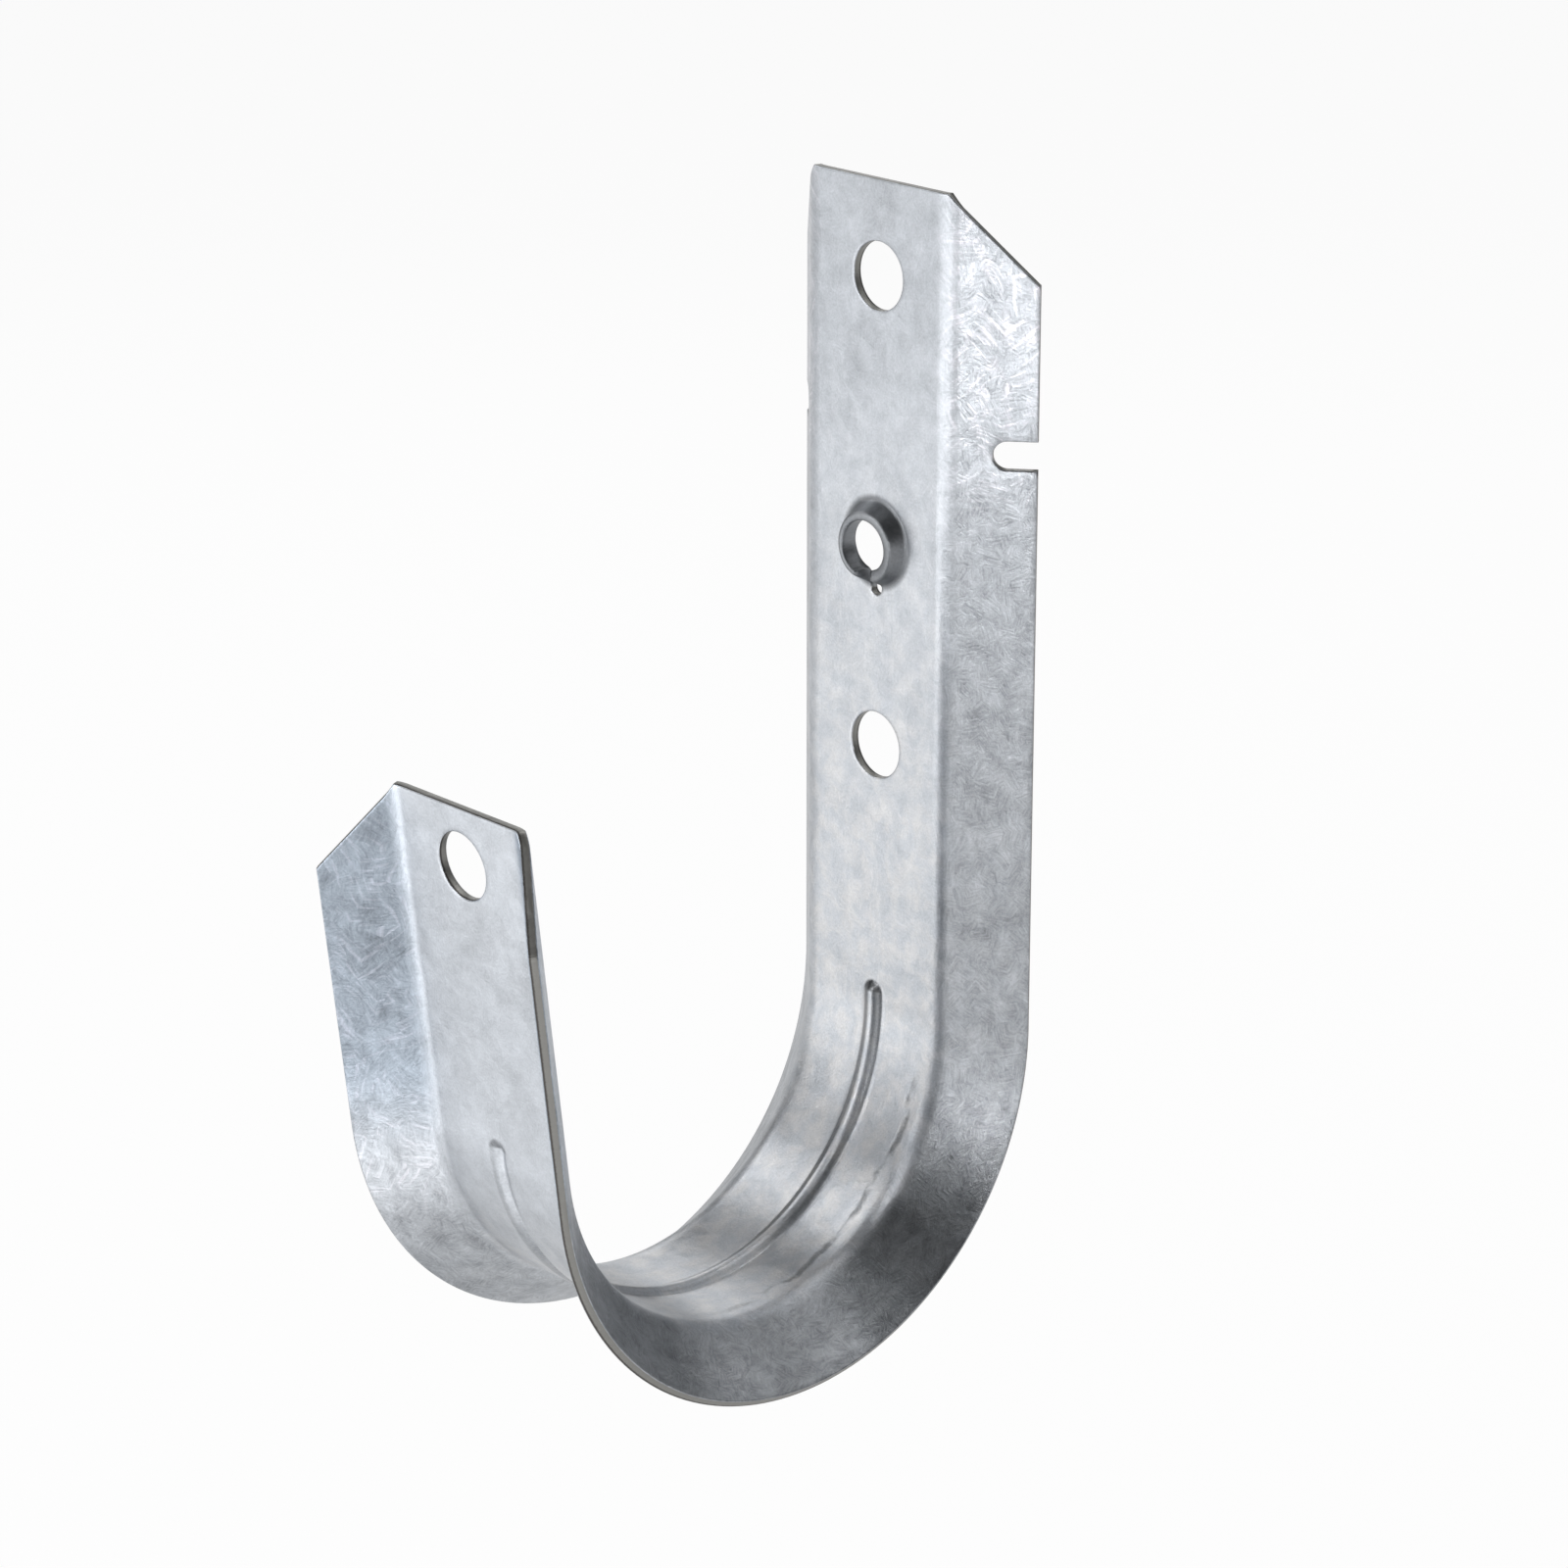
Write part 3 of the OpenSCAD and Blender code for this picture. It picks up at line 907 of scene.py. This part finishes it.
# %% [markdown]
# ### Roughness and slope
# The roughness follows the crystals, because some froze smoother than others, and it is higher on
# the bare edges. The slope comes from a Bump node that reads the needles, the clouds and the
# crease as heights, and its distance is a few hundredths of a millimetre, as on a real coating.
# A slope does more for metal than its colour does, because it moves what the metal mirrors.

# %% Roughness and slope
BUMP = 0.06 * MM

rough = (0.36 + rolled * 0.06 + crystal_tone * 0.06 + clouds * 0.12 + grain * 0.12
         - feather_tone * 0.15 + on_edge * 0.12 + on_boss * 0.1)
feather_relief = (strokes * 0.09 - scratches * 0.1 + needle_side * 0.15) * ferny
relief = (feather_relief + frost * (on_flange * 0.22 + 0.1) + flange_clouds * on_flange * 0.5
          + small_side * 0.05 + grain * 0.25 + patches * 0.8 + clouds * 1.2 + rubs * 0.08
          - crease * 0.5)
bumps = finish.node("Bump", {"Height": relief, "Distance": BUMP, "Strength": 1.0})

shader = steel_nodes["Principled BSDF"]
colour.feeds(shader, "Base Color")
rough.feeds(shader, "Roughness")
bumps.feeds(shader, "Normal")
shader.inputs["Metallic"].default_value = 1.0
mesh.materials.append(steel)
print(len(steel_nodes), "nodes in the steel")

# %% [markdown]
# ## Camera
# The camera stands well back with a long lens, a little above the hook and to its right, so the
# lines of the sheet hardly converge. A camera looks along its own -Z, so it is first tilted up
# from looking straight down, and then turned round the vertical.

# %% Camera
CAMERA_PLACE = (0.35463, -0.33165, 0.11031)
CAMERA_TURN = math.radians(48.05)
CAMERA_DIP = math.radians(18.77)

camera_data = bpy.data.cameras.new("camera")
camera_data.lens = 111.53
camera_data.sensor_width = 36
camera_data.clip_start = 0.01
camera = bpy.data.objects.new("camera", camera_data)
camera.matrix_world = (Matrix.Translation(CAMERA_PLACE) @ Matrix.Rotation(CAMERA_TURN, 4, "Z")
                       @ Matrix.Rotation(math.pi / 2 - CAMERA_DIP, 4, "X"))
bpy.context.scene.collection.objects.link(camera)
bpy.context.scene.camera = camera
print(f"the camera is {Vector(CAMERA_PLACE).length:.2f} m from the upper hole")

# %% [markdown]
# ## Light
# Metal shows what stands round it, so its lights are placed by what each face mirrors. The web
# mirrors the pale floor and a broad soft front light. The folds and the flanges mirror a smaller
# one to their right. Above is mostly dark, which is why the bottom of the loop is dark too. Each
# light is a round soft lamp that is turned to the hook and hidden from the camera. Most stand far
# off, and a few small ones, the cards, stand near and light one bend each. A lamp shines along
# its own -Z, so its Z is turned to point away from the hook.

# %% A lamp
AIM = Vector((0, -0.025, -0.05))
FAR = 0.9
NEAR = 0.33
CLOSE = 0.19


def lamp(name, azimuth, climb, distance, size, watts):
    """A soft round lamp at a direction and a distance from the hook, in degrees and metres."""
    turn, rise = math.radians(azimuth), math.radians(climb)
    way = Vector((math.cos(turn) * math.cos(rise), math.sin(turn) * math.cos(rise), math.sin(rise)))
    data = bpy.data.lights.new(name, "AREA")
    data.shape = "DISK"
    data.size = size
    data.energy = watts
    light = bpy.data.objects.new(name, data)
    facing = way.to_track_quat("Z", "Y").to_matrix().to_4x4()
    light.matrix_world = Matrix.Translation(AIM + way * distance) @ facing
    light.visible_camera = False
    bpy.context.scene.collection.objects.link(light)


print("the lamps look at", [round(side / MM) for side in AIM], "mm")

# %% [markdown]
# The broad lamps in front, on the left and overhead light the legs and the loop. The ones behind
# are weak, and give the loop's bottom and the view from the back their shape.

# %% Lamps
lamp("front", 247, 17, FAR, 0.40, 2.1)
lamp("front_high", 262, 48, FAR, 0.30, 1.2)
lamp("front_low", 270, -8, FAR, 0.30, 1.0)
lamp("left", 195, 36, FAR, 0.45, 1.55)
lamp("left_low", 225, -8, FAR, 0.30, 0.25)
lamp("overhead", 108, 72, FAR, 0.55, 2.5)
lamp("back_high", 38, 54, FAR, 0.40, 0.6)
lamp("back_left", 142, 20, FAR, 0.45, 0.95)
lamp("back", 75, 30, FAR, 0.40, 0.5)
lamp("card_low", 246, -18, NEAR, 0.15, 0.12)
lamp("card_right", 312, 2, NEAR, 0.07, 0.14)
lamp("card_left", 222, -24, NEAR, 0.12, 0.022)
lamp("card_under", 283, -50, CLOSE, 0.07, 0.030)
print(len(bpy.data.lights), "lamps,", round(sum(light.energy for light in bpy.data.lights), 2), "W in all")

# %% [markdown]
# ## Floor, ceiling and backdrop
# The floor is pale and wide. Far from the lamps it would fall off to grey, so it is white to the
# camera and to mirrored rays, and so is the world behind it. A share of the lit floor is kept,
# and with it the hook's soft shadow. A white world on all sides would leave the metal flat and
# pale, so a dark ceiling, hidden from the camera, covers all but a low band of it, as black flags
# do over a studio table.

# %% White where it is seen
WHITE = 0.95
FLOOR_PAINT = (0.9, 0.9, 0.9, 1)
PURE_WHITE = (1, 1, 1, 1)
DIM = 0.045


def seen(start):
    """1 for what the camera or a mirrored ray sees, 0 for the light that spreads from it."""
    camera_ray = start.node("LightPath", {}, output="Is Camera Ray")
    either = start.maths("MAXIMUM", camera_ray, camera_ray.also("Is Glossy Ray"))
    return start.maths("MAXIMUM", either, camera_ray.also("Is Transmission Ray"))


floor_paint = bpy.data.materials.new("floor_paint")
floor_paint.use_nodes = True
begin = Field(floor_paint.node_tree)
lit = begin.node("BsdfPrincipled", {"Base Color": FLOOR_PAINT, "Roughness": 0.9, "Specular IOR Level": 0.0})
glow = begin.node("Emission", {"Color": PURE_WHITE, "Strength": 1.0})
surface = begin.node("MixShader", {0: seen(begin) * WHITE, 1: lit, 2: glow})
surface.feeds(floor_paint.node_tree.nodes["Material Output"], "Surface")

ceiling_shade = bpy.data.materials.new("ceiling_shade")
ceiling_shade.use_nodes = True
faint = Field(ceiling_shade.node_tree).node("Emission", {"Color": PURE_WHITE, "Strength": DIM})
faint.feeds(ceiling_shade.node_tree.nodes["Material Output"], "Surface")
print("materials:", [material.name for material in bpy.data.materials])

# %% [markdown] The floor and the ceiling are both one flat face.

# %% Floor and ceiling
FLOOR_DROP = 0.10
FLOOR_HALF = 60.0
CEILING = 2.0
CEILING_HALF = 23.0


def stage_plane(name, half_side, height, material):
    """A wide level face, for the floor or the ceiling."""
    level = bmesh.new()
    bmesh.ops.create_grid(level, x_segments=1, y_segments=1, size=half_side)
    bmesh.ops.translate(level, verts=level.verts[:], vec=(0, 0, height))
    plane_mesh = bpy.data.meshes.new(name)
    level.to_mesh(plane_mesh)
    level.free()
    plane_mesh.materials.append(material)
    plane = bpy.data.objects.new(name, plane_mesh)
    bpy.context.scene.collection.objects.link(plane)
    return plane


stage_plane("floor", FLOOR_HALF, cad_low.z - FLOOR_DROP, floor_paint)
ceiling = stage_plane("ceiling", CEILING_HALF, CEILING, ceiling_shade)
ceiling.visible_camera = False
band = math.degrees(math.atan2(CEILING, CEILING_HALF))
print(f"the white band that metal mirrors reaches {band:.1f} degrees above the floor")

# %% [markdown]
# The world works in the same way as the floor: white where it is seen, and dim as a light. The
# Standard view shows each colour as it is written.

# %% World and view
world = bpy.data.worlds.new("studio")
world.use_nodes = True
bpy.context.scene.world = world
begin = Field(world.node_tree)
dim_light = begin.node("Background", {"Color": PURE_WHITE, "Strength": DIM})
bright = begin.node("Background", {"Color": PURE_WHITE, "Strength": 1.0})
backdrop = begin.node("MixShader", {0: seen(begin), 1: dim_light, 2: bright})
backdrop.feeds(world.node_tree.nodes["World Output"], "Surface")
bpy.context.scene.view_settings.view_transform = "Standard"
print("the view is", bpy.context.scene.view_settings.view_transform)

# %% [markdown] ## Close
# The hook has to lie inside the plain model's box.
